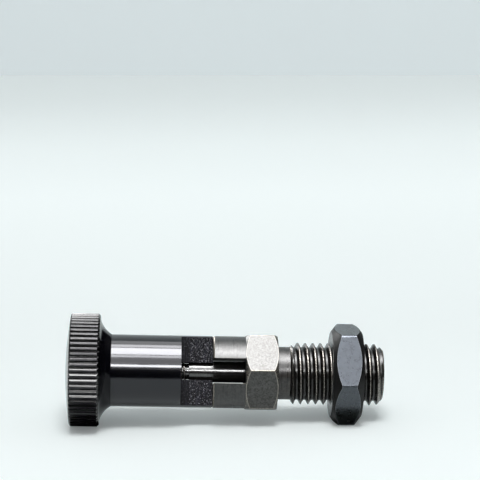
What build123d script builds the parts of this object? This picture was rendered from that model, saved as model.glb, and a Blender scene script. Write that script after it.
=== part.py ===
from build123d import *
import os

# Indexing plunger with a rest position, stored parked: the knob is pulled back and turned a
# quarter, so its two tongues stand on the end of the body and the pin is drawn in.
# The axis is X, with the knob at -X and the pin at +X.  The origin is on the axis, in the
# front face of the hexagon, which seats on the plate that the plunger is screwed into.

# ---- Driving dimensions, in millimetres and degrees ----

# body: threaded shank, hexagon and slotted skirt, turned and milled from one bar
thread_diameter = 16.0
thread_pitch = 2.0
shank_length = 27.5
neck_length = 3.2
hexagon_across_flats = 19.0
hexagon_length = 8.3
hexagon_face_diameter = 19.1  # of the circle that the corners' chamfers leave
hexagon_corner_radius = 0.3
skirt_diameter = 18.7
skirt_length = 8.4
skirt_bore = 7.4
spring_wall = 2.5
bore_mouth_chamfer = 0.5
slot_roll = 16.5  # the slot and one corner of the hexagon point this far above -Y

# knob: knurled disc, flare, sleeve and two tongues in one piece
knob_diameter = 29.4
rim_width = 7.7
dome_height = 1.2
dome_rim_chamfer = 0.4
sleeve_rim_chamfer = 0.5
flare_length = 3.0
flare_inset = 0.75  # the flare starts this far inside the rim's chamfer
sleeve_length = 18.0
tongue_thickness = 5.9
tongue_bore = 7.3
knurl_count = 63
knurl_depth = 0.45
knurl_groove_share = 0.62  # of the knurl's pitch
tapping_depth = 9.5

# pin: index pin, stem and threaded tail in one piece
pin_diameter = 8.0
pin_back_chamfer = 0.4
stem_diameter = 5.5
tail_diameter = 5.0
tail_groove_diameter = 4.1
tail_groove_length = 0.65
tail_engagement = 8.0
stem_setback = 2.1  # from the root of the tongues to the end of the full stem

# spring, in the room that it has when parked
spring_room = 12.7
spring_wire = 0.9
spring_turns = 9.5

# lock nut, thin pattern
nut_across_flats = 24.0
nut_thickness = 8.0
nut_distance = 14.0  # from the front face of the hexagon
nut_face_diameter = 22.1
nut_corner_radius = 1.0

# clearances and broken edges
guide_clearance = 0.05  # radial, pin in its bore and stem in its hole
nut_clearance = 0.05  # radial, nut over the shank
tail_clearance = 0.02  # radial, tail in the knob's tapped hole
slot_clearance = 0.25  # each side of a tongue in its slot
floor_clearance = 0.1  # tongue to the floor of the slot, when the pin is out
park_gap = 0.05  # tongues to the end of the skirt, when parked
park_recess = 0.1  # tip of the pin inside the shank, when parked
spring_end_gap = 0.02
edge_break = 0.3

# ---- Values worked out from them ----

thread_radius = thread_diameter / 2
thread_chamfer = 0.75 * thread_pitch
neck_radius = thread_radius - 0.575 * thread_pitch
skirt_radius = skirt_diameter / 2
pin_radius = pin_diameter / 2
stem_radius = stem_diameter / 2
tail_radius = tail_diameter / 2
guide_radius = pin_radius + guide_clearance
stem_hole_radius = stem_radius + guide_clearance
spring_mean_radius = (guide_radius + stem_radius) / 2
slot_width = tongue_thickness + 2 * slot_clearance
tongue_length = skirt_length - floor_clearance
knob_radius = knob_diameter / 2
flare_radius = knob_radius - sleeve_rim_chamfer - flare_inset
flare_drop = flare_radius - skirt_radius
dome_radius = knob_radius - dome_rim_chamfer
knurl_groove = knurl_groove_share * 3.1416 * knob_diameter / knurl_count
knurl_start = 180 / knurl_count  # half a pitch, so that one groove points to -Y

# places along the axis, from the pin to the knob
pin_tip = shank_length - park_recess
hexagon_back = -hexagon_length
spring_seat = hexagon_back + spring_wall
pin_shoulder = spring_seat + spring_room
skirt_end = hexagon_back - skirt_length
tongue_end = skirt_end - park_gap
tongue_root = tongue_end - tongue_length
stem_end = tongue_root + stem_setback
flare_end = tongue_root - sleeve_length
rim_front = flare_end - flare_length
rim_back = rim_front - rim_width
dome_top = rim_back - dome_height
tail_end = tongue_root - tail_engagement
tapping_end = tongue_root - tapping_depth

half_width_factor = 0.57735  # tangent of 30 degrees
corner_chamfer_slope = 0.7536  # tangent of the 37 degrees of the hexagons' chamfers
beyond = 1.0  # how far a cut runs past the metal


def turned(*outline):
    """Half section of a turned form, from its (x, radius) points, closed along the axis."""
    with BuildSketch() as section:
        with BuildLine():
            Polyline((outline[0][0], 0), *outline, (outline[-1][0], 0), close=True)
        make_face()
    return section.sketch


def hexagon(across_flats, face_diameter, back, front, roll, rounding):
    """Hexagonal prism with its corners turned off at both ends, in the part being built."""
    corner_radius = across_flats / 2 * (1 + half_width_factor**2) ** 0.5 + beyond
    face_radius = face_diameter / 2
    chamfer_length = (corner_radius - face_radius) * corner_chamfer_slope
    with BuildSketch(Plane.YZ.offset(back)) as profile:
        RegularPolygon(across_flats / 2, 6, major_radius=False, rotation=roll)
        fillet(profile.vertices(), rounding)
    extrude(profile.sketch, amount=front - back)
    crown = turned(
        (back, face_radius),
        (back + chamfer_length, corner_radius),
        (front - chamfer_length, corner_radius),
        (front, face_radius),
    )
    revolve(crown, axis=Axis.X, mode=Mode.INTERSECT)


# ---- Body ----

with BuildPart() as body:
    hexagon(
        hexagon_across_flats,
        hexagon_face_diameter,
        hexagon_back,
        0,
        -slot_roll,
        hexagon_corner_radius,
    )
    # shank, with the thread left as its plain outside diameter
    shank = turned(
        (-beyond, neck_radius),
        (neck_length, neck_radius),
        (neck_length + thread_radius - neck_radius, thread_radius),
        (shank_length - thread_chamfer, thread_radius),
        (shank_length, thread_radius - thread_chamfer),
    )
    revolve(shank, axis=Axis.X)
    skirt = turned(
        (skirt_end, skirt_radius - edge_break),
        (skirt_end + edge_break, skirt_radius),
        (hexagon_back + beyond, skirt_radius),
    )
    revolve(skirt, axis=Axis.X)
    # front bore: it guides the pin and holds the spring behind it
    front_bore = turned(
        (spring_seat, guide_radius),
        (shank_length - bore_mouth_chamfer, guide_radius),
        (shank_length, guide_radius + bore_mouth_chamfer),
    )
    revolve(front_bore, axis=Axis.X, mode=Mode.SUBTRACT)
    # back bore, then the hole for the stem through the wall that the spring pushes on
    back_bore = turned(
        (skirt_end, skirt_bore / 2 + edge_break),
        (skirt_end + edge_break, skirt_bore / 2),
        (hexagon_back, skirt_bore / 2),
        (hexagon_back, stem_hole_radius),
        (spring_seat, stem_hole_radius),
    )
    revolve(back_bore, axis=Axis.X, mode=Mode.SUBTRACT)
    # one slot across the skirt takes both tongues when the pin is out
    with BuildSketch(Plane.YZ.offset(skirt_end)):
        Rectangle(2 * skirt_diameter, slot_width, rotation=-slot_roll)
    extrude(amount=skirt_length, mode=Mode.SUBTRACT)

# ---- Knob ----

with BuildPart() as knob:
    # rim: a disc with straight knurl grooves, turned to its dome and its two chamfers
    with BuildSketch(Plane.YZ.offset(dome_top)):
        Circle(knob_radius)
        with PolarLocations(knob_radius, knurl_count, start_angle=knurl_start):
            Polygon(
                (-knurl_depth, 0),
                (beyond, knurl_groove / 2 * (1 + beyond / knurl_depth)),
                (beyond, -knurl_groove / 2 * (1 + beyond / knurl_depth)),
                align=None,
                mode=Mode.SUBTRACT,
            )
    extrude(amount=rim_front - dome_top)
    with BuildSketch() as rim:
        with BuildLine():
            ThreePointArc(
                (dome_top, 0),
                (dome_top + dome_height / 4, dome_radius / 2),
                (rim_back, dome_radius),
            )
            Polyline(
                (rim_back, dome_radius),
                (rim_back + dome_rim_chamfer, knob_radius),
                (rim_front - sleeve_rim_chamfer, knob_radius),
                (rim_front, knob_radius - sleeve_rim_chamfer),
                (rim_front, 0),
                (dome_top, 0),
            )
        make_face()
    revolve(axis=Axis.X, mode=Mode.INTERSECT)
    # flare, sleeve and the outside of the tongues
    with BuildSketch() as sleeve:
        with BuildLine():
            Line((rim_front, 0), (rim_front, flare_radius))
            ThreePointArc(
                (rim_front, flare_radius),
                (rim_front + 0.335 * flare_length, flare_radius - 0.55 * flare_drop),
                (flare_end, skirt_radius),
            )
            Polyline(
                (flare_end, skirt_radius),
                (tongue_end - edge_break, skirt_radius),
                (tongue_end, skirt_radius - edge_break),
                (tongue_end, 0),
                (rim_front, 0),
            )
        make_face()
    revolve(axis=Axis.X)
    # two milled flats leave the tongues, across the slot while the plunger is parked
    with BuildSketch(Plane.XY.rotated((180 - slot_roll, 0, 0))) as flats:
        for side, alignment in ((1, Align.MIN), (-1, Align.MAX)):
            with Locations((tongue_root, side * tongue_thickness / 2)):
                Rectangle(tongue_length + beyond, skirt_radius, align=(Align.MIN, alignment))
        fillet(flats.vertices().group_by(Axis.X)[0].sort_by(Axis.Y)[1:3], slot_clearance)
    extrude(amount=skirt_diameter, both=True, mode=Mode.SUBTRACT)
    # the bore between the tongues breaks out through both flats, and the stem's tail
    # screws into the hole at its end
    bore = turned((tongue_end, tongue_bore / 2), (tongue_root, tongue_bore / 2))
    revolve(bore, axis=Axis.X, mode=Mode.SUBTRACT)
    hole_radius = tail_radius + tail_clearance
    tapping = turned(
        (tongue_root, hole_radius + edge_break),
        (tongue_root - edge_break, hole_radius),
        (tapping_end, hole_radius),
    )
    revolve(tapping, axis=Axis.X, mode=Mode.SUBTRACT)

# ---- Pin ----

with BuildPart() as pin:
    with BuildSketch() as turning:
        with BuildLine():
            ThreePointArc(
                (pin_tip, 0),
                (pin_tip - pin_radius * (1 - 0.5**0.5), pin_radius * 0.5**0.5),
                (pin_tip - pin_radius, pin_radius),
            )
            Polyline(
                (pin_tip - pin_radius, pin_radius),
                (pin_shoulder + pin_back_chamfer, pin_radius),
                (pin_shoulder, pin_radius - pin_back_chamfer),
                (pin_shoulder, stem_radius),
                (stem_end, stem_radius),
                (stem_end, tail_groove_diameter / 2),
                (stem_end - tail_groove_length, tail_groove_diameter / 2),
                (stem_end - tail_groove_length, tail_radius),
                (tail_end + edge_break, tail_radius),
                (tail_end, tail_radius - edge_break),
                (tail_end, 0),
                (pin_tip, 0),
            )
        make_face()
    revolve(axis=Axis.X)

# ---- Spring ----

# The wire runs half a diameter past both seats, and both ends are then ground flat.
spring_back = spring_seat + spring_end_gap
spring_front = pin_shoulder - spring_end_gap
spring_length = spring_front - spring_back

with BuildPart() as spring:
    with BuildLine() as coil:
        Helix(
            pitch=spring_length / spring_turns,
            height=spring_length,
            radius=spring_mean_radius,
            center=(spring_back, 0, 0),
            direction=(1, 0, 0),
        )
    with BuildSketch(Plane(origin=coil.line @ 0, z_dir=coil.line % 0)):
        Circle(spring_wire / 2)
    sweep(is_frenet=True)
    with BuildSketch(Plane.YZ.offset(spring_back)):
        Circle(2 * spring_mean_radius)
    extrude(amount=spring_length, mode=Mode.INTERSECT)

# ---- Lock nut ----

nut_back = nut_distance
nut_front = nut_distance + nut_thickness
nut_bore_radius = thread_radius + nut_clearance
nut_countersink = thread_radius * 1.06

with BuildPart() as nut:
    hexagon(nut_across_flats, nut_face_diameter, nut_back, nut_front, 0, nut_corner_radius)
    countersink_depth = (nut_countersink - nut_bore_radius) * half_width_factor
    nut_bore = turned(
        (nut_back, nut_countersink),
        (nut_back + countersink_depth, nut_bore_radius),
        (nut_front - countersink_depth, nut_bore_radius),
        (nut_front, nut_countersink),
    )
    revolve(nut_bore, axis=Axis.X, mode=Mode.SUBTRACT)

# ---- One file for each piece ----

os.makedirs("parts", exist_ok=True)
pieces = {"body": body, "knob": knob, "pin": pin, "spring": spring, "nut": nut}
for name, piece in pieces.items():
    piece.part.label = name
    export_step(piece.part, f"parts/{name}.step")
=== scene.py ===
from math import atan2, ceil, copysign, cos, degrees, hypot, pi, radians, sin, tan, tau

import bmesh
import bpy
from mathutils import Matrix, Vector


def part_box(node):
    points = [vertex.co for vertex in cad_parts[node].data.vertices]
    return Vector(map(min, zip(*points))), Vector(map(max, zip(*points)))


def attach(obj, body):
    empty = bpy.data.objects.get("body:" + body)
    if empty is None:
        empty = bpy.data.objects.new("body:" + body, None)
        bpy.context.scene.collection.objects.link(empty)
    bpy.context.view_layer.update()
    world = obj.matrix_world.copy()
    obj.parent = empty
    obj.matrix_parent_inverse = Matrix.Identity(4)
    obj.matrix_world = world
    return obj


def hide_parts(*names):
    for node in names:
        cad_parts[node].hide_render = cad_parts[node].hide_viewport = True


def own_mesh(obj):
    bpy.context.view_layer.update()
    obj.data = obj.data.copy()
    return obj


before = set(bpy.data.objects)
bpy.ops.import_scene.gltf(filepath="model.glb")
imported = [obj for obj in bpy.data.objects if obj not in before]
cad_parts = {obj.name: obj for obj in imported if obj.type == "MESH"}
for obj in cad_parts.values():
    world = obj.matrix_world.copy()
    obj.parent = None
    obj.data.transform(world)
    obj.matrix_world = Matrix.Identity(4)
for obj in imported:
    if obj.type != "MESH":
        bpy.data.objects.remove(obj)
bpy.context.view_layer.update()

# Indexing plunger, parked: the knob is pulled back and turned a quarter, so its tongues stand on
# the end of the slotted skirt.  Shapes are worked in millimetres and go to metres at the end.

mm = 0.001


def box_mm(node):
    """Lowest and highest corner of a CAD node, in millimetres."""
    low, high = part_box(node)
    return low / mm, high / mm


# ---- Sizes, in millimetres and degrees ----

body_low, body_high = box_mm("body")
knob_low, knob_high = box_mm("knob")
pin_low, pin_high = box_mm("pin")
nut_low, nut_high = box_mm("nut")
spring_low, spring_high = box_mm("spring")

# body
skirt_end, shank_end = body_low.x, body_high.x
thread_radius, thread_pitch = 8.0, 2.0
thread_depth, thread_crest = 0.575 * thread_pitch, 0.125 * thread_pitch
thread_phase = 1.26  # where a crest crosses the top of the shank
thread_chamfer = 0.75 * thread_pitch
neck_radius, neck_length = thread_radius - thread_depth, 3.2
hexagon_across_flats, hexagon_length, hexagon_corner = 19.0, 8.3, 0.3
hexagon_face_radius, corner_chamfer_slope = 9.55, 0.7536
skirt_radius, skirt_bore_radius = 9.35, 3.7
guide_radius, stem_hole_radius = 4.05, 2.8
spring_wall, bore_mouth_chamfer = 2.5, 0.5
slot_width, slot_roll = 6.4, radians(16.5)
slot_flare = 0.08  # broken edges of the slot and of the tongues
hexagon_back = -hexagon_length
spring_seat = hexagon_back + spring_wall

# knob
knob_radius = -knob_low.y
tongue_end = knob_high.x
tongue_root = skirt_end - 8.35
tongue_thickness, tongue_bore_radius, tongue_root_radius = 5.9, 3.7, 0.25
flare_end = tongue_root - 18.0
rim_front = flare_end - 3.0
rim_back = rim_front - 7.7
dome_top = knob_low.x
dome_radius, rim_front_chamfer = knob_radius - 0.4, 0.5
flare_radius = knob_radius - 1.25
knurl_count, knurl_turn = 63, slot_roll + radians(1.3)
dome_steps, flare_steps = 12, 12
flare_bend = (0.335, 0.55)  # shares of the flare's length and of its drop, at a point between
back_steps, front_steps = (0.35, 0.5, 0.65, 0.8, 1), (0, 0.25, 0.5, 0.75, 1)  # along the chamfers
tapping_radius, tapping_end = 2.52, tongue_root - 9.5

# pin
pin_radius, pin_tip, tail_end = pin_high.z, pin_high.x, pin_low.x
pin_shoulder, pin_back_chamfer = spring_high.x + 0.02, 0.4
stem_radius, stem_end, stem_break = 2.75, tongue_root + 2.1, 0.1
tail_groove_radius, tail_groove_length = 2.05, 0.65
tail_radius, tail_pitch, tail_chamfer = 2.5, 0.8, 0.3
tail_depth, tail_crest = 0.6 * tail_pitch, 0.125 * tail_pitch
tail_overlap = 0.2  # of the groove's core with the tail

# spring
wire_radius, spring_turns = 0.45, 9.5
coil_radius = (guide_radius + stem_radius) / 2

# lock nut
nut_across_flats, nut_face_radius, nut_corner = 2 * nut_high.z, 11.05, 1.0
nut_clearance = 0.05
nut_mouth_radius = 1.06 * thread_radius
crest_ease = 0.07  # play that keeps the flanks of nut and shank apart

edge_break, worn_width = 0.3, 0.15
outside = 1.0  # how far a cutter runs past the metal
slack = 0.01  # in telling faces apart by their place, and in what has to overlap
sliver = 0.02  # least step that keeps two surfaces from falling together
weld, on_plane = 1e-4, 1e-5  # corners this near are one, or lie on the plane of a cut
third = radians(30)  # of a right angle
roll = Matrix.Rotation(-slot_roll, 4, "X")

# Finishes, by their place in the list of a piece's materials
plain, rubbed = 0, 1
body_turned, body_thread, body_bore, body_crest, body_neck = 2, 3, 4, 5, 6
knob_knurl, knob_milled, knob_sheltered, knob_flare = 1, 2, 3, 4
nut_crown = 2
most_finishes = 7


# ---- Shapes ----

def turned(outline, steps=128):
    """Closed solid turned about the X axis from the (x, radius) points of its half section."""
    form = bmesh.new()
    points = [(outline[0][0], 0), *outline, (outline[-1][0], 0)]
    corners = [form.verts.new((x, 0, radius)) for x, radius in points]
    lines = [form.edges.new(pair) for pair in zip(corners, corners[1:])]
    bmesh.ops.spin(form, geom=corners + lines, cent=(0, 0, 0), axis=(1, 0, 0), dvec=(0, 0, 0),
                   angle=tau, steps=steps, use_merge=True, use_duplicate=False)
    return closed(form)


def closed(form):
    """Merges doubles and turns every face outwards."""
    bmesh.ops.remove_doubles(form, verts=form.verts[:], dist=weld)
    bmesh.ops.dissolve_degenerate(form, dist=weld, edges=form.edges[:])
    bmesh.ops.recalc_face_normals(form, faces=form.faces[:])
    return form


def arc_through(start, middle, end, steps):
    """Points on the arc through three points, both ends with it."""
    a, b, c = (Vector(point) for point in (start, middle, end))
    ab, ac = b - a, c - a
    scale = 2 * ab.cross(ac)
    across = Vector((ac.y * ab.length_squared - ab.y * ac.length_squared,
                     ab.x * ac.length_squared - ac.x * ab.length_squared)) / scale
    centre, radius = a + across, across.length
    first = atan2(a.y - centre.y, a.x - centre.x)
    last = atan2(c.y - centre.y, c.x - centre.x)
    sweep = (last - first + pi) % tau - pi
    angles = [first + sweep * step / steps for step in range(steps + 1)]
    return [(centre.x + radius * cos(angle), centre.y + radius * sin(angle)) for angle in angles]


def combine(form, tool, operation):
    """Joins, cuts or keeps what two closed forms share, as UNION, DIFFERENCE or INTERSECT.
    The blank materials let every face keep the place of its finish."""
    made = []
    for part in (form, tool):
        mesh = bpy.data.meshes.new("blank")
        part.to_mesh(mesh)
        part.free()
        for _ in range(most_finishes):
            mesh.materials.append(None)
        made.append(bpy.data.objects.new("blank", mesh))
        bpy.context.scene.collection.objects.link(made[-1])
    cut = made[0].modifiers.new("cut", "BOOLEAN")
    cut.operation, cut.object, cut.solver = operation, made[1], "EXACT"
    shown = made[0].evaluated_get(bpy.context.evaluated_depsgraph_get())
    result = bmesh.new()
    result.from_mesh(shown.to_mesh())
    for blank in made:
        mesh = blank.data
        bpy.data.objects.remove(blank)
        bpy.data.meshes.remove(mesh)
    return result


def finish(form, number):
    """Gives every face of a form one of its piece's materials."""
    for face in form.faces:
        face.material_index = number


def wear_edges(form, edges, width):
    """Rounds edges and gives the new faces the worn finish."""
    rounded = bmesh.ops.bevel(form, geom=edges, offset=width, offset_type="OFFSET", segments=2,
                              profile=0.5, affect="EDGES", clamp_overlap=True, material=-1)
    for face in rounded["faces"]:
        face.material_index = rubbed


def close_holes(form):
    """Caps each open end with one flat face."""
    rims = [edge for edge in form.edges if edge.is_boundary]
    bmesh.ops.holes_fill(form, edges=rims, sides=0)


def hexagonal(across_flats, face_radius, back, front, rounding):
    """Hexagonal blank with corners at -Y and +Y, turned down to a circle at both faces."""
    corner_radius = across_flats / 2 / cos(third)
    reach = corner_radius + outside
    upright = Matrix.Translation((back, 0, 0)) @ Matrix.Rotation(pi / 2, 4, "Y")
    form = bmesh.new()
    bmesh.ops.create_circle(form, cap_ends=True, segments=6, radius=corner_radius, matrix=upright)
    bmesh.ops.bevel(form, geom=form.verts[:], offset=rounding * tan(third),
                    segments=max(2, round(8 * rounding)),
                    offset_type="OFFSET", profile=0.5, affect="VERTICES", material=-1)
    raised = bmesh.ops.extrude_face_region(form, geom=form.faces[:])["geom"]
    far_side = [part for part in raised if isinstance(part, bmesh.types.BMVert)]
    bmesh.ops.translate(form, vec=(front - back, 0, 0), verts=far_side)
    closed(form)
    slope = (reach - face_radius) * corner_chamfer_slope
    crown = turned([(back, face_radius), (back + slope, reach),
                    (front - slope, reach), (front, face_radius)], steps=240)
    form = combine(form, crown, "INTERSECT")
    closed(form)
    rims = [edge for edge in form.edges if len(edge.link_faces) == 2
            and sorted(abs(face.normal.x) > 0.5 for face in edge.link_faces) == [False, True]]
    wear_edges(form, rims, worn_width)
    return form


def slanted(face, most=0.9):
    """Whether a face is a chamfer: it looks neither along the axis nor straight out from it."""
    return 0.1 < abs(face.normal.x) < most


def off_flat(face):
    """How far a face of a hexagon is turned from the nearest flat, in degrees, or 0 at its ends."""
    if abs(face.normal.x) > 0.1:
        return 0
    return abs(degrees(atan2(face.normal.z, face.normal.y)) % 60 - 30)


def threaded(crest_radius, depth, crest, pitch, limits, flank_angle=third, steps=96):
    """Threaded rod cut off at the first and last of its limits, which are (x, largest radius)
    points.  The thread is right-handed, and one crest crosses the top at x = thread_phase."""
    start, end = limits[0][0], limits[-1][0]
    root_radius = crest_radius - depth
    flank = depth * tan(flank_angle)
    root = (pitch - crest - 2 * flank) / 2
    ridge = [(-pitch / 2, root_radius), (root - pitch / 2, root_radius),
             (-crest / 2 - flank / 2, (root_radius + crest_radius) / 2),
             (-crest / 2, crest_radius), (crest / 2, crest_radius),
             (crest / 2 + flank / 2, (root_radius + crest_radius) / 2),
             (pitch / 2 - root, root_radius), (pitch / 2, root_radius)]
    turns = ceil((end - start) / pitch) + 3
    first = (ceil((start - thread_phase) / pitch) - 2) * pitch + thread_phase
    form = bmesh.new()
    corners = [form.verts.new((first + x, 0, radius)) for x, radius in ridge]
    lines = [form.edges.new(pair) for pair in zip(corners, corners[1:])]
    bmesh.ops.spin(form, geom=corners + lines, cent=(0, 0, 0), axis=(1, 0, 0),
                   dvec=(pitch / steps, 0, 0), angle=turns * tau, steps=turns * steps,
                   use_merge=False, use_duplicate=False)
    bmesh.ops.remove_doubles(form, verts=form.verts[:], dist=weld)
    for x, _ in limits:
        everything = form.verts[:] + form.edges[:] + form.faces[:]
        bmesh.ops.bisect_plane(form, geom=everything, dist=on_plane, plane_co=(x, 0, 0),
                               plane_no=(1, 0, 0), clear_inner=x == start, clear_outer=x == end)
    for face in form.faces:
        radii = [hypot(corner.co.y, corner.co.z) for corner in face.verts]
        face.material_index = rubbed if min(radii) > crest_radius - slack else plain
    for corner in form.verts:
        x, radius = corner.co.x, hypot(corner.co.y, corner.co.z)
        for (x0, r0), (x1, r1) in zip(limits, limits[1:]):
            if x0 - weld <= x <= x1 + weld:
                most = r0 + (r1 - r0) * (x - x0) / (x1 - x0)
                if radius > most:
                    corner.co.yz *= most / radius
    close_holes(form)
    return closed(form)


def prism(outline, stages):
    """Closed form with a (y, z) outline, through stages of (x, how far it spreads along Z).
    Each face that the form grew from is removed, because it would stay inside as a wall."""
    form = bmesh.new()
    x, spread = stages[0]
    corners = [form.verts.new((x, y, z + copysign(spread, z))) for y, z in outline]
    start = face = form.faces.new(corners)
    for next_x, next_spread in stages[1:]:
        raised = bmesh.ops.extrude_face_region(form, geom=[face])["geom"]
        if face is not start:
            form.faces.remove(face)
        face = next(part for part in raised if isinstance(part, bmesh.types.BMFace))
        for corner in face.verts:
            corner.co.x = next_x
            corner.co.z += (next_spread - spread) * copysign(1, corner.co.z)
        spread = next_spread
    return closed(form)


def piece(name, form, materials, body, node, smooth_under=35):
    """Puts a finished form in the scene, in metres, on its body and in place of its CAD node."""
    bmesh.ops.scale(form, vec=(mm, mm, mm), verts=form.verts[:])
    mesh = bpy.data.meshes.new(name)
    form.to_mesh(mesh)
    form.free()
    for material in materials:
        mesh.materials.append(material)
    mesh.shade_smooth()
    mesh.set_sharp_from_angle(angle=radians(smooth_under))
    made = bpy.data.objects.new(name, mesh)
    bpy.context.scene.collection.objects.link(made)
    even = made.modifiers.new("even normals", "WEIGHTED_NORMAL")
    even.keep_sharp = True
    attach(made, body)
    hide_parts(node)
    return made


# ---- Materials ----

def colour(code):
    """Linear colour of an sRGB hex code."""
    parts = [int(code[i:i + 2], 16) / 255 for i in (1, 3, 5)]
    return (*(c / 12.92 if c <= 0.04045 else ((c + 0.055) / 1.055) ** 2.4 for c in parts), 1)


def material(name):
    """New material: itself, its node tree and its shader."""
    made = bpy.data.materials.new(name)
    made.use_nodes = True
    return made, made.node_tree, made.node_tree.nodes["Principled BSDF"]


def connect(tree, node, **inputs):
    """Sets the inputs of a node to values, or links them to sockets."""
    for key, value in inputs.items():
        socket = node.inputs[int(key[1:]) if key[0] == "_" else key.replace("_", " ")]
        if isinstance(value, bpy.types.NodeSocket):
            tree.links.new(value, socket)
        else:
            socket.default_value = value


def add(tree, kind, settings=None, out=0, stops=(), **inputs):
    """Adds a node with its settings, the stops of its ramp and its inputs, and gives an output."""
    node = tree.nodes.new("ShaderNode" + kind)
    for setting, value in (settings or {}).items():
        setattr(node, setting, value)
    for number, (position, code) in enumerate(stops):
        elements = node.color_ramp.elements
        element = elements[number] if number < len(elements) else elements.new(position)
        element.position, element.color = position, colour(code)
    connect(tree, node, **inputs)
    return node.outputs[out]


def patches(tree, size, stretch=(1, 1, 1), detail=3.0, roughness=0.6):
    """Noise with patches of about size millimetres, drawn out where the stretch is under 1."""
    place = add(tree, "Mapping", Vector=add(tree, "TexCoord", out="Object"), Scale=stretch)
    return add(tree, "TexNoise", Vector=place, Scale=1 / (size * mm), Detail=detail,
               Roughness=roughness)


def off_axis(tree):
    """Distance from the X axis."""
    aside = add(tree, "VectorMath", product_of, _0=add(tree, "TexCoord", out="Object"),
                _1=(0, 1, 1))
    return add(tree, "VectorMath", {"operation": "LENGTH"}, out="Value", _0=aside)


# How marks are stretched: those of turning, those along the axis, and those that run no one way
around, lengthwise, evenly = (1, 0.04, 0.04), (0.04, 1, 1), (1, 1, 1)
sum_of, less, product_of, least_of = (
    {"operation": sign} for sign in ("ADD", "SUBTRACT", "MULTIPLY", "MINIMUM"))


def black_oxide(name, dark, light, stretch, mark, rough, level, rim=None, bare_colour="#918b81",
                sheen=("#dcdcdc", "#ffffff")):
    """Black oxide on machined steel: a thin satin layer, greyish where the light rakes it, with
    a fine mottle and the marks of the tool.  The tool marks are drawn coarser than real ones.
    A rim is the (back, front, radius at both) of a hexagon: steel shows beside its chamfers."""
    made, tree, shader = material(name)
    marks = patches(tree, mark, stretch)
    mottle = patches(tree, 0.7, detail=8.0, roughness=0.75)
    both = add(tree, "Math", product_of, _1=0.5, _0=add(tree, "Math", sum_of, _0=marks, _1=mottle))
    shade = add(tree, "ValToRGB", Fac=mottle, stops=((0.4, dark), (0.6, light)))
    if rim:
        back, front, rim_radius = rim
        along = add(tree, "SeparateXYZ", Vector=add(tree, "TexCoord", out="Object"))
        behind = add(tree, "Math", less, _0=along, _1=back * mm)
        ahead = add(tree, "Math", less, _0=front * mm, _1=along)
        depth = add(tree, "Math", least_of, _0=behind, _1=ahead)
        chamfer = add(tree, "MapRange", {"clamp": False}, Value=depth, From_Min=0.0,
                      From_Max=corner_chamfer_slope * mm, To_Min=rim_radius * mm,
                      To_Max=(rim_radius + 1) * mm)
        inside = add(tree, "Math", less, _0=chamfer, _1=off_axis(tree))
        specks = add(tree, "MapRange", Value=patches(tree, 0.3), From_Min=0.3, From_Max=0.7,
                     To_Min=-0.06 * mm, To_Max=0.06 * mm)
        bare = add(tree, "ValToRGB", stops=((0.0, "#000000"), (0.1, "#ffffff"), (0.6, "#ffffff"),
                                            (1.0, "#000000")),
                   Fac=add(tree, "MapRange", From_Min=0.01 * mm, From_Max=0.26 * mm,
                           Value=add(tree, "Math", sum_of, _0=inside, _1=specks)))
        shade = add(tree, "Mix", {"data_type": "RGBA"}, out=2, _0=bare, _6=shade,
                    _7=colour(bare_colour))
    connect(tree, shader, IOR=1.6, Base_Color=shade,
            Roughness=add(tree, "MapRange", Value=marks, From_Min=0.35, From_Max=0.65,
                          To_Min=rough - 0.05, To_Max=rough + 0.05),
            Specular_IOR_Level=level,
            Specular_Tint=add(tree, "ValToRGB", Fac=both, stops=((0.42, sheen[0]),
                                                                 (0.58, sheen[1]))),
            Normal=add(tree, "Bump", Distance=0.004 * mm, Height=marks))
    return made


def worn_steel(name, dull, bright, size):
    """Steel where the oxide has rubbed off an edge, broken up by specks where it is left."""
    made, tree, shader = material(name)
    wear = patches(tree, size)
    connect(tree, shader, Metallic=1.0,
            Base_Color=add(tree, "ValToRGB", Fac=wear, stops=((0.38, dull), (0.55, bright))),
            Roughness=add(tree, "MapRange", Value=wear, From_Min=0.4, From_Max=0.6,
                          To_Min=0.5, To_Max=0.35))
    return made


def anodised(name, level):
    """Black anodised aluminium, turned first: a hard clear layer over black, with faint lengthwise
    streaks in its gloss and, on the dome and the flare, the rings of the turning tool.  Both are
    drawn coarser than real ones.  Polished, it is almost a mirror; the flare was left duller."""
    made, tree, shader = material(name)
    streaks = patches(tree, 0.25, lengthwise)
    rings = add(tree, "TexNoise", {"noise_dimensions": "1D"}, W=off_axis(tree),
                Scale=1 / (0.5 * mm), Detail=3.0)
    connect(tree, shader, IOR=1.53, Specular_Tint=colour("#f8f9ff"),
            Base_Color=add(tree, "ValToRGB", Fac=streaks,
                           stops=((0.3, "#040407"), (0.7, "#09090e"))),
            Roughness=add(tree, "MapRange", Value=streaks, From_Min=0.35, From_Max=0.65,
                          To_Min=0.1, To_Max=0.17),
            Specular_IOR_Level=level,
            Normal=add(tree, "Bump", Distance=0.006 * mm, Height=rings))
    return made


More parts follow.
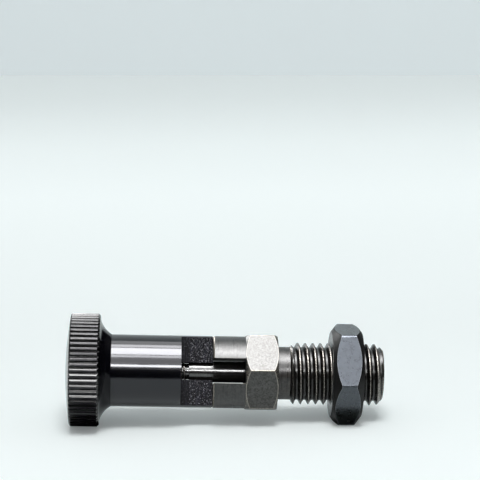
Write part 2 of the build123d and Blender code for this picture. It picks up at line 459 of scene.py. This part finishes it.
def knurled():
    """Knurl rolled in before anodising: the wheel burnished the flanks of the teeth, and the
    crests between them are scuffed and grainy."""
    made, tree, shader = material("knurled_black_anodised_aluminium")
    crest = add(tree, "MapRange", Value=off_axis(tree), From_Min=(knob_radius - 0.05) * mm,
                From_Max=(knob_radius - 0.01) * mm, To_Min=0.0, To_Max=1.0)
    grain = patches(tree, 0.3, (0.5, 1, 1), detail=4.0, roughness=0.7)
    scuff = add(tree, "Math", product_of, _0=crest,
                _1=add(tree, "MapRange", Value=grain, From_Min=0.42, From_Max=0.62,
                       To_Min=0.0, To_Max=1.0))
    connect(tree, shader, IOR=1.55,
            Base_Color=add(tree, "ValToRGB", Fac=scuff, stops=((0.0, "#070709"), (1.0, "#302e34"))),
            Metallic=add(tree, "Math", product_of, _0=scuff, _1=0.6),
            Roughness=add(tree, "MapRange", Value=crest, From_Min=0.0, From_Max=1.0,
                          To_Min=0.15, To_Max=0.34),
            Specular_IOR_Level=0.44,
            Normal=add(tree, "Bump", Distance=0.01 * mm, Height=scuff))
    return made


def milled():
    """Tongues milled with a coarse cutter and anodised: matt, near black, crossed by the arcs of
    the cutter and full of bright specks.  The specks are partly painted glints, a light colour in
    place of the glitter of the cut, and partly metal that catches real light.  The arcs are drawn
    coarser than real ones."""
    made, tree, shader = material("milled_black_anodised_aluminium")
    grit = patches(tree, 0.24, detail=2.0)
    arcs = patches(tree, 0.3, (1, 0.08, 0.08))
    along = add(tree, "SeparateXYZ", Vector=add(tree, "TexCoord", out="Object"))
    past_root = add(tree, "MapRange", Value=along, From_Min=(tongue_root + 2.2) * mm,
                    From_Max=(tongue_root + 2.4) * mm, To_Min=0.2, To_Max=1.0)
    # Painted glints: specks of light colour that stand in for glints, half metal so they also catch
    # real light
    painted_glint = add(tree, "Math", product_of, _0=past_root,
                _1=add(tree, "MapRange", Value=grit, From_Min=0.585, From_Max=0.7,
                       To_Min=0.0, To_Max=1.0))
    bright = add(tree, "ValToRGB", Fac=painted_glint, stops=((0.0, "#0c0c12"), (1.0, "#a2a2aa")))
    lines = add(tree, "ValToRGB", Fac=arcs, stops=((0.5, "#000000"), (0.66, "#1c1c24")))
    connect(tree, shader, IOR=1.5, Specular_IOR_Level=0.12, Roughness=0.55,
            Base_Color=add(tree, "Mix", {"data_type": "RGBA", "blend_type": "ADD"}, out=2,
                           _0=1.0, _6=bright, _7=lines),
            Metallic=add(tree, "Math", product_of, _0=painted_glint, _1=0.5),
            Normal=add(tree, "Bump", Distance=0.04 * mm, Height=grit))
    return made


def grooved():
    """Black anodised aluminium in grooves and bores, where nothing ever polished it: matt black."""
    made, tree, shader = material("sheltered_black_anodised_aluminium")
    soot = patches(tree, 0.3)
    connect(tree, shader, IOR=1.5, Specular_IOR_Level=0.12,
            Base_Color=add(tree, "ValToRGB", Fac=soot,
                           stops=((0.35, "#040405"), (0.65, "#0b0b0d"))),
            Roughness=add(tree, "MapRange", Value=soot, From_Min=0.35, From_Max=0.65,
                          To_Min=0.5, To_Max=0.65))
    return made


def spring_wire():
    """Drawn music wire: dull grey, with darker drawing marks."""
    made, tree, shader = material("music_wire")
    marks = patches(tree, 0.6)
    connect(tree, shader, Metallic=1.0,
            Base_Color=add(tree, "ValToRGB", Fac=marks,
                           stops=((0.35, "#5b5957"), (0.65, "#858380"))),
            Roughness=add(tree, "MapRange", Value=marks, From_Min=0.35, From_Max=0.65,
                          To_Min=0.26, To_Max=0.36))
    return made


oxide = black_oxide("milled_black_oxide_steel", "#171715", "#272623", evenly, 0.4, 0.34, 0.74,
                    (hexagon_back, 0, hexagon_face_radius), sheen=("#c0beba", "#ffffff"))
turned_oxide = black_oxide("turned_black_oxide_steel", "#171716", "#252423", around, 0.3, 0.32,
                           0.6)
neck_oxide = black_oxide("neck_black_oxide_steel", "#171513", "#302c28", around, 0.5, 0.3, 0.5)
thread_oxide = black_oxide("threaded_black_oxide_steel", "#0a0908", "#161412", around, 0.3, 0.25,
                           0.42)
# Bores and the square walls of the slot: rough, dull milled oxide. Their colour is darker than
# outside, which is painted shade for the little light that reaches in.
inner_oxide_painted_shade = black_oxide("inner_black_oxide_painted_shade", "#070707", "#111110", evenly, 0.4, 0.7,
                          0.12)
nut_oxide = black_oxide("nut_black_oxide_steel", "#10120f", "#171a18", evenly, 1.2, 0.3, 0.86,
                        (nut_low.x, nut_high.x, nut_face_radius), "#75777a",
                        ("#dde6f5", "#e6f0ff"))
# The nut's chamfers: turned, duller oxide. Their colour is darker than the flats, which is a
# painted dark reflection.
crown_oxide_painted_dark = black_oxide("nut_chamfer_oxide_painted_dark", "#080808", "#0f0f0f", around, 0.4, 0.45,
                          0.09)
ground = black_oxide("ground_black_oxide_steel", "#1e1e1d", "#2e2d2b", around, 0.3, 0.21, 1.0)
worn = worn_steel("worn_steel_edge", "#55514b", "#a09a90", 0.35)
crest_worn = worn_steel("worn_thread_crest", "#3a3836", "#8b8782", 0.3)
nut_worn = worn_steel("worn_nut_edge", "#3a3a3b", "#6b6d72", 0.35)
polished = anodised("polished_black_anodised_aluminium", 0.5)
turned_flare = anodised("turned_black_anodised_aluminium", 0.13)
knurled_rim = knurled()
milled_flats = milled()
sheltered = grooved()
wire = spring_wire()


# ---- Body ----

def make_body():
    """Hexagon, slotted skirt, neck and threaded shank, bored from both ends."""
    form = hexagonal(hexagon_across_flats, hexagon_face_radius, hexagon_back, 0, hexagon_corner)
    for face in form.faces:
        if off_flat(face) > 3:
            face.material_index = rubbed
    skirt = turned([(skirt_end, skirt_radius - edge_break), (skirt_end + edge_break, skirt_radius),
                    (hexagon_back + outside, skirt_radius)])
    for face in skirt.faces:
        face.material_index = rubbed if slanted(face) else plain
    form = combine(form, skirt, "UNION")
    shank = threaded(thread_radius, thread_depth, thread_crest, thread_pitch, [
        (neck_length, neck_radius),
        (neck_length + thread_depth, thread_radius),
        (shank_end - thread_chamfer, thread_radius),
        (shank_end, thread_radius - thread_chamfer)])
    for face in shank.faces:
        at_chamfer = face.calc_center_median().x > shank_end - thread_chamfer
        bright = face.material_index == rubbed or face.normal.x > 0.5 and at_chamfer
        face.material_index = body_crest if bright else plain
    form = combine(form, shank, "UNION")
    neck = turned([(-outside, neck_radius), (neck_length + slack, neck_radius)])
    form = combine(form, neck, "UNION")
    bore = turned([
        (hexagon_back - outside, stem_hole_radius), (spring_seat, stem_hole_radius),
        (spring_seat, guide_radius), (shank_end - bore_mouth_chamfer, guide_radius),
        (shank_end + outside, guide_radius + bore_mouth_chamfer + outside)])
    finish(bore, body_bore)
    form = combine(form, bore, "DIFFERENCE")
    back_bore = turned([
        (skirt_end - outside, skirt_bore_radius + edge_break + outside),
        (skirt_end + edge_break, skirt_bore_radius), (hexagon_back, skirt_bore_radius)])
    finish(back_bore, body_bore)
    form = combine(form, back_bore, "DIFFERENCE")
    edge = (skirt_radius**2 - (slot_width / 2)**2) ** 0.5
    near, far = edge - slot_flare / 2, skirt_radius + outside
    half, open_half = slot_width / 2, slot_width / 2 + far - near
    outline = [(-far, -open_half), (-near, -half), (near, -half), (far, -open_half),
               (far, open_half), (near, half), (-near, half), (-far, open_half)]
    slot = prism(outline, [(hexagon_back, 0), (skirt_end + slot_flare, 0),
                           (skirt_end - outside, slot_flare + outside)])
    # The square walls of the slot take the bores' finish, whose darker colour is painted shade.
    for face in slot.faces:
        square = max(abs(part) for part in face.normal) > 0.99
        face.material_index = body_bore if square else rubbed
    form = combine(form, slot, "DIFFERENCE")
    for face in form.faces:
        middle = face.calc_center_median().x
        if face.material_index == plain and middle <= hexagon_back - slack:
            face.material_index = body_turned
        elif face.material_index == plain and middle >= slack:
            face.material_index = body_thread if middle > neck_length else body_neck
    bmesh.ops.transform(form, matrix=roll, verts=form.verts[:])
    return form


piece("body", make_body(), [oxide, worn, turned_oxide, thread_oxide, inner_oxide_painted_shade, crest_worn,
                            neck_oxide], "housing", "body")


# ---- Knob ----

# One tooth of the knurl: places across it, in pitches, and depths, in millimetres.  The flank
# that the knurling wheel pushed up slopes at 39 degrees and ends at pushed_up, the other at 62.
pushed_up = 0.43
tooth = ((-0.37, 0.13), (-0.31, 0.05), (-0.24, 0.012), (-0.14, 0.0), (-0.02, 0.0), (0.07, 0.004),
         (0.13, 0.03), (0.2, 0.11), (0.3, 0.228), (0.4, 0.345), (0.46, 0.39), (0.54, 0.385))


def knob_rings():
    """Places of the knob's rings from the dome to the root of the tongues: x and radius."""
    dome = arc_through((dome_top, 0), (dome_top + (rim_back - dome_top) / 4, dome_radius / 2),
                       (rim_back, dome_radius), dome_steps)
    step_up = knob_radius - dome_radius
    back = [(rim_back + step_up * share, dome_radius + step_up * share) for share in back_steps]
    front = [(rim_front - rim_front_chamfer * (1 - share), knob_radius - rim_front_chamfer * share)
             for share in front_steps]
    along, down = flare_bend
    bend = (rim_front + along * (flare_end - rim_front),
            flare_radius - down * (flare_radius - skirt_radius))
    flare = arc_through((rim_front, flare_radius), bend, (flare_end, skirt_radius), flare_steps)
    return dome[1:] + back + front + flare + [(tongue_root, skirt_radius),
                                              (tongue_end - edge_break, skirt_radius),
                                              (tongue_end, skirt_radius - edge_break)]


def make_knob():
    """Knurled rim with its dome and flare, drawn out ring by ring, then milled to two tongues."""
    form = bmesh.new()
    count = knurl_count * len(tooth)
    upright = Matrix.Rotation(pi / 2, 4, "Y")
    ring = bmesh.ops.create_circle(form, segments=count, radius=knob_radius,
                                   matrix=upright)["verts"]
    edges = form.edges[:]
    places = []
    for number in range(count):
        share, deep = tooth[number % len(tooth)]
        turn = -(number // len(tooth) + share) / knurl_count
        places.append((turn * tau + knurl_turn, knob_radius - deep))
    current = {corner: number for number, corner in enumerate(ring)}
    for step, (x, radius) in enumerate(knob_rings()):
        if step:
            raised = bmesh.ops.extrude_edge_only(form, edges=edges)["geom"]
            edges = [part for part in raised if isinstance(part, bmesh.types.BMEdge)]
            corners = [part for part in raised if isinstance(part, bmesh.types.BMVert)]
            fresh = {}
            for corner in corners:
                below = next(edge.other_vert(corner) for edge in corner.link_edges
                             if edge.other_vert(corner) in current)
                fresh[corner] = current[below]
            current = fresh
        for corner, number in current.items():
            angle, most = places[number]
            least = min(most, radius)
            corner.co = (x, least * cos(angle), least * sin(angle))
    close_holes(form)
    closed(form)
    for face in form.faces:
        middle = face.calc_center_median()
        if rim_back < middle.x < rim_front and abs(face.normal.x) < 0.9:
            across = (knurl_turn - atan2(middle.z, middle.y)) / tau * knurl_count
            upper = (across - tooth[0][0]) % 1 + tooth[0][0] < pushed_up
            face.material_index = knob_knurl if upper else knob_sheltered
        elif rim_front - slack < middle.x < flare_end:
            face.material_index = knob_flare
    edge = (skirt_radius**2 - (tongue_thickness / 2)**2) ** 0.5
    near, half, far = edge - slot_flare / 2, tongue_thickness / 2, skirt_radius + outside
    root = [(tongue_root + tongue_root_radius * (1 - cos(angle)),
             tongue_root_radius * (1 - sin(angle))) for angle in (0, third, 2 * third, 3 * third)]
    for side in (1, -1):
        outline = [(-far, 2 * far), (-far, half - (far - near)), (-near, half), (near, half),
                   (far, half - (far - near)), (far, 2 * far)]
        flats = prism(outline, root + [(tongue_end - slot_flare, 0),
                                       (tongue_end + outside, -slot_flare - outside)])
        quarter = Matrix.Rotation(side * pi / 2, 4, "X")
        bmesh.ops.transform(flats, matrix=quarter, verts=flats.verts[:])
        form = combine(form, flats, "DIFFERENCE")
    bore = turned([(tongue_root, tongue_bore_radius), (tongue_end + outside, tongue_bore_radius)])
    finish(bore, knob_sheltered)
    form = combine(form, bore, "DIFFERENCE")
    tapping = turned([(tapping_end, tapping_radius), (tongue_root - edge_break, tapping_radius),
                      (tongue_root + outside, tapping_radius + edge_break + outside)])
    finish(tapping, knob_sheltered)
    form = combine(form, tapping, "DIFFERENCE")
    for face in form.faces:
        middle = face.calc_center_median()
        outer = hypot(middle.y, middle.z) > skirt_radius - 0.05
        if middle.x > tongue_root + slack and face.material_index == plain and not outer:
            face.material_index = knob_milled
    bmesh.ops.transform(form, matrix=roll, verts=form.verts[:])
    return form


piece("knob", make_knob(), [polished, knurled_rim, milled_flats, sheltered, turned_flare],
      "plunger", "knob")


# ---- Pin ----

def make_pin():
    """Round-nosed pin, its stem, and the threaded tail that holds the knob."""
    slant = 0.5**0.5
    tip = arc_through((pin_tip, 0), (pin_tip - pin_radius * (1 - slant), pin_radius * slant),
                      (pin_tip - pin_radius, pin_radius), 16)
    tail_start = stem_end - tail_groove_length
    form = turned(tip[1:] + [
        (pin_shoulder + pin_back_chamfer, pin_radius),
        (pin_shoulder, pin_radius - pin_back_chamfer), (pin_shoulder, stem_radius),
        (stem_end + stem_break, stem_radius), (stem_end, stem_radius - stem_break),
        (stem_end, tail_groove_radius), (tail_start - tail_overlap, tail_groove_radius)])
    tail = threaded(tail_radius, tail_depth, tail_crest, tail_pitch, [
        (tail_end, tail_radius - tail_depth + sliver), (tail_end + tail_depth, tail_radius),
        (tail_start - tail_chamfer, tail_radius), (tail_start, tail_radius - tail_chamfer)],
        steps=48)
    return combine(form, tail, "UNION")


piece("pin", make_pin(), [ground, crest_worn], "plunger", "pin")


# ---- Spring ----

def make_spring():
    """Coil of round wire, ground flat at both ends."""
    low, high = spring_low.x, spring_high.x
    pitch = (high - low) / spring_turns
    form = bmesh.new()
    across = Matrix.Translation((low, 0, coil_radius)) @ Matrix.Rotation(pi / 2, 4, "X")
    bmesh.ops.create_circle(form, segments=16, radius=wire_radius, matrix=across)
    steps_per_turn = 60
    steps = round(spring_turns * steps_per_turn)
    bmesh.ops.spin(form, geom=form.verts[:] + form.edges[:], cent=(0, 0, 0), axis=(1, 0, 0),
                   dvec=(pitch / steps_per_turn, 0, 0), angle=spring_turns * tau, steps=steps,
                   use_merge=False, use_duplicate=False)
    close_holes(form)
    for x, inner in ((low, True), (high, False)):
        everything = form.verts[:] + form.edges[:] + form.faces[:]
        bmesh.ops.bisect_plane(form, geom=everything, dist=on_plane, plane_co=(x, 0, 0),
                               plane_no=(1, 0, 0), clear_inner=inner, clear_outer=not inner)
        close_holes(form)
    return closed(form)


spring = piece("spring", make_spring(), [wire], "spring_end", "spring")
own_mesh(spring)


# ---- Lock nut ----

def make_nut():
    """Hexagon nut with a countersunk, tapped bore whose thread runs in step with the shank's."""
    back, front = nut_low.x, nut_high.x
    form = hexagonal(nut_across_flats, nut_face_radius, back, front, nut_corner)
    # The chamfers take the darker chamfer finish; its darker colour is a painted dark reflection.
    for face in form.faces:
        if slanted(face, most=0.99):
            face.material_index = nut_crown
    minor = thread_radius - thread_depth + nut_clearance + sliver
    sink = (nut_mouth_radius - minor) * tan(third)
    wide = nut_mouth_radius + outside / tan(third)
    bore = turned([(back - outside, wide), (back + sink, minor),
                   (front - sink, minor), (front + outside, wide)])
    form = combine(form, bore, "DIFFERENCE")
    crest = thread_crest - 2 * nut_clearance * tan(third) + crest_ease
    tap = threaded(thread_radius + nut_clearance, thread_depth, crest, thread_pitch, [
        (back - outside, thread_radius + nut_clearance),
        (front + outside, thread_radius + nut_clearance)])
    bmesh.ops.transform(tap, matrix=roll, verts=tap.verts[:])
    return combine(form, tap, "DIFFERENCE")


piece("nut", make_nut(), [nut_oxide, nut_worn, crown_oxide_painted_dark], "lock_nut", "nut")


# ---- Studio, level with the floor that the rim of the knob and a flat of the nut stand on ----

rim_touch = rim_front - rim_front_chamfer
nut_touch = nut_high.x - (nut_high.z - nut_face_radius) * corner_chamfer_slope
tilt = atan2(knob_radius - nut_high.z, nut_touch - rim_touch)
studio = Matrix.Rotation(-tilt, 4, "Y")
floor_height = (-rim_touch * sin(tilt) - knob_radius * cos(tilt)) * mm


# ---- Camera ----

focal, sensor, camera_distance = 150.0, 36.0, 522.166  # millimetres
pixels = 480  # of a side of the picture
origin_pixel = (276.589, 373.029)  # where the origin of the part shows
horizon_row = 75.5  # where the floor meets the wall
focal_pixels = focal / sensor * pixels
yaw, dip, lean = radians(2.069), radians(10.218), radians(-0.727)
forward = Vector((sin(yaw) * cos(dip), cos(yaw) * cos(dip), -sin(dip)))
level_right = Vector((cos(yaw), -sin(yaw), 0))
level_up = level_right.cross(forward)
right = level_right * cos(lean) + level_up * sin(lean)
up = level_up * cos(lean) - level_right * sin(lean)
per_pixel = sensor / focal / pixels * camera_distance
camera_place = -(right * (origin_pixel[0] - pixels / 2) * per_pixel
                 + up * (pixels / 2 - origin_pixel[1]) * per_pixel
                 + forward * camera_distance) * mm
camera = bpy.data.objects.new("camera", bpy.data.cameras.new("camera"))
bpy.context.scene.collection.objects.link(camera)
camera.data.lens, camera.data.sensor_width = focal, sensor
axes = Matrix((right, up, -forward)).transposed().to_4x4()
camera.matrix_world = studio @ Matrix.Translation(camera_place) @ axes
camera.data.clip_end = 20
bpy.context.scene.camera = camera
bpy.context.scene.view_settings.view_transform = "Standard"


# ---- Stage and lamps, in metres ----

def stage_sheet(name, corners, made):
    """Flat sheet of the studio, from corners given level with the floor."""
    form = bmesh.new()
    form.faces.new([form.verts.new(studio @ Vector(corner)) for corner in corners])
    mesh = bpy.data.meshes.new(name)
    form.to_mesh(mesh)
    form.free()
    mesh.materials.append(made)
    sheet = bpy.data.objects.new(name, mesh)
    bpy.context.scene.collection.objects.link(sheet)
    return sheet


def matt(name, code, glow=0.0, *slopes):
    """Matt paper.  Its glow is a strength, and slopes of (near y, far y, how much more or less),
    and brings it up to white for the camera and in gloss, without more light on the object.  The
    slopes are painted light: they make the glow stronger or weaker in bands along the floor."""
    made, tree, shader = material(name)
    if glow:
        place = add(tree, "SeparateXYZ", out="Y", Vector=add(tree, "TexCoord", out="Object"))
        level = add(tree, "Value")
        level.default_value = glow
        # Painted light: each slope makes the glow stronger or weaker along the depth of the floor.
        for near, far, more in slopes:
            change = add(tree, "MapRange", Value=place, From_Min=near, From_Max=far,
                         To_Min=0.0, To_Max=more)
            level = add(tree, "Math", sum_of, _0=level, _1=change)
        seen = add(tree, "Math", sum_of, _0=add(tree, "LightPath", out="Is Camera Ray"),
                   _1=add(tree, "LightPath", out="Is Glossy Ray"))
        connect(tree, shader, Emission_Color=colour(code),
                Emission_Strength=add(tree, "Math", product_of, _0=level, _1=seen))
    connect(tree, shader, Base_Color=colour(code), Roughness=1.0, Specular_IOR_Level=0.0)
    return made


def floor_under(pixel):
    """Place on the floor that a pixel shows, in metres and level with the floor."""
    sight = (forward * focal_pixels + right * (pixel[0] - pixels / 2)
             + up * (pixels / 2 - pixel[1]))
    return camera_place + sight * ((floor_height - camera_place.z) / sight.z)


left_end, right_end = floor_under((0, horizon_row)), floor_under((pixels, horizon_row))
floor_front, floor_sides, wall_height = -1.5, 12, 2.5
further_out = (right_end - left_end).normalized() * floor_sides
left_end, right_end = left_end - further_out, right_end + further_out
# The floor's glow rises from 0.1 to 0.38 m behind the part and drops a little past 0.55 m: a
# painted pool of light.
stage_sheet("floor", [(left_end.x, floor_front, floor_height),
                      (right_end.x, floor_front, floor_height), right_end, left_end],
            matt("pale_floor", "#eef5f5", 0.17, (0.1, 0.38, 0.2), (0.55, 0.8, -0.1)))
wall_rise = Vector((0, 0, wall_height))
stage_sheet("wall", [left_end, right_end, right_end + wall_rise, left_end + wall_rise],
            matt("pale_wall", "#d7dfe1", 0.38))


def area_lamp(name, place, aim, size, radiance):
    """Rectangular lamp of (width, height), as bright as radiance says, aimed at a point."""
    lamp = bpy.data.lights.new(name, "AREA")
    lamp.shape, (lamp.size, lamp.size_y) = "RECTANGLE", size
    lamp.energy = radiance * pi * size[0] * size[1]
    made = bpy.data.objects.new(name, lamp)
    bpy.context.scene.collection.objects.link(made)
    aimed = (Vector(aim) - Vector(place)).to_track_quat("-Z", "Y").to_matrix().to_4x4()
    made.matrix_world = studio @ Matrix.Translation(place) @ aimed
    made.visible_camera = False
    return made


# The key lamp lights the colours at a plain level and isn't seen in gloss.  The panels are seen
# only there: from and to an elevation in degrees, seen from the object, from and to a place
# along the axis, a distance, and a radiance.
key = area_lamp("key", (0, -0.4, 0.86), (0, 0, 0), (0.3, 0.33), 15.2)
key.visible_glossy = False
panels = {
    "knob_light": (120, 168, -0.085, -0.05, 0.12, 9),
    "softbox_far": (104, 122, -0.2, 0.2, 0.9, 2.5),
    "softbox_back": (93.5, 104, -0.2, 0.2, 0.9, 12),
    "softbox": (66.5, 90.5, -0.2, 0.2, 0.9, 22),
    "softbox_front": (57, 63.5, -0.2, 0.2, 0.9, 15),
    "fill": (35, 57, -0.35, 0.3, 0.9, 2.5),
    "strip": (26.5, 32, -0.09, 0.15, 0.9, 36),
}
for name, (low, high, start, end, distance, radiance) in panels.items():
    middle, half = radians(low + high) / 2, radians(high - low) / 2
    centre = (start + end) / 2
    panel = area_lamp(name, (centre, -distance * cos(middle), distance * sin(middle)),
                      (centre, 0, 0), (end - start, 2 * distance * tan(half)), radiance)
    panel.visible_diffuse = False
for name, stand, size, radiance in (("dome_light", (-0.9, 0, 0.09), (0.8, 0.12), 4),
                                    ("rear_light", (0.8, 0.62, 0.6), (0.7, 0.35), 8)):
    area_lamp(name, stand, (0, 0, 0), size, radiance).visible_diffuse = False

# Black cards that only the object's gloss shows: one in front, one on the floor under the rim of
# the knob and one under the nut, and two that stand past the end of the shank.  The two on the
# floor
# are painted shade: they deepen the shadow there as the gloss sees it.
card_start, card_end, card_distance = -0.1, 0.3, 0.09
card_low, card_high = radians(-9), radians(18)  # elevations, seen from the object
shade_card_height = floor_height + 0.0005
shade_cards = ((-0.054, -0.045, -0.035), (0.0135, 0.0225, -0.0115))  # start, end, front
end_cards = ((0.32, -1.2, 0.8, 1.2), (0.1, -0.35, 0.15, 0.3))  # place, front, back, top
black = matt("black_card", "#050505")
front_card = [(x, -card_distance, card_distance * tan(angle))
              for x, angle in ((card_start, card_low), (card_end, card_low),
                               (card_end, card_high), (card_start, card_high))]
cards = [stage_sheet("card", front_card, black)]
# Painted shade: black sheets on the floor under the knob's rim and under the nut, seen only in
# gloss.
for start, end, front in shade_cards:
    corners = [(x, y, shade_card_height)
               for x, y in ((start, front), (end, front), (end, 0), (start, 0))]
    cards.append(stage_sheet("painted_shade_card", corners, black))
for x, front, back, top in end_cards:
    corners = [(x, y, z) for y, z in ((front, floor_height), (back, floor_height),
                                      (back, top), (front, top))]
    cards.append(stage_sheet("end_card", corners, black))
for card in cards:
    card.visible_camera = card.visible_diffuse = card.visible_shadow = False

world = bpy.data.worlds.new("room")
bpy.context.scene.world = world
world.use_nodes = True
world.node_tree.nodes["Background"].inputs["Color"].default_value = (1, 1, 1, 1)
world.node_tree.nodes["Background"].inputs["Strength"].default_value = 0.45
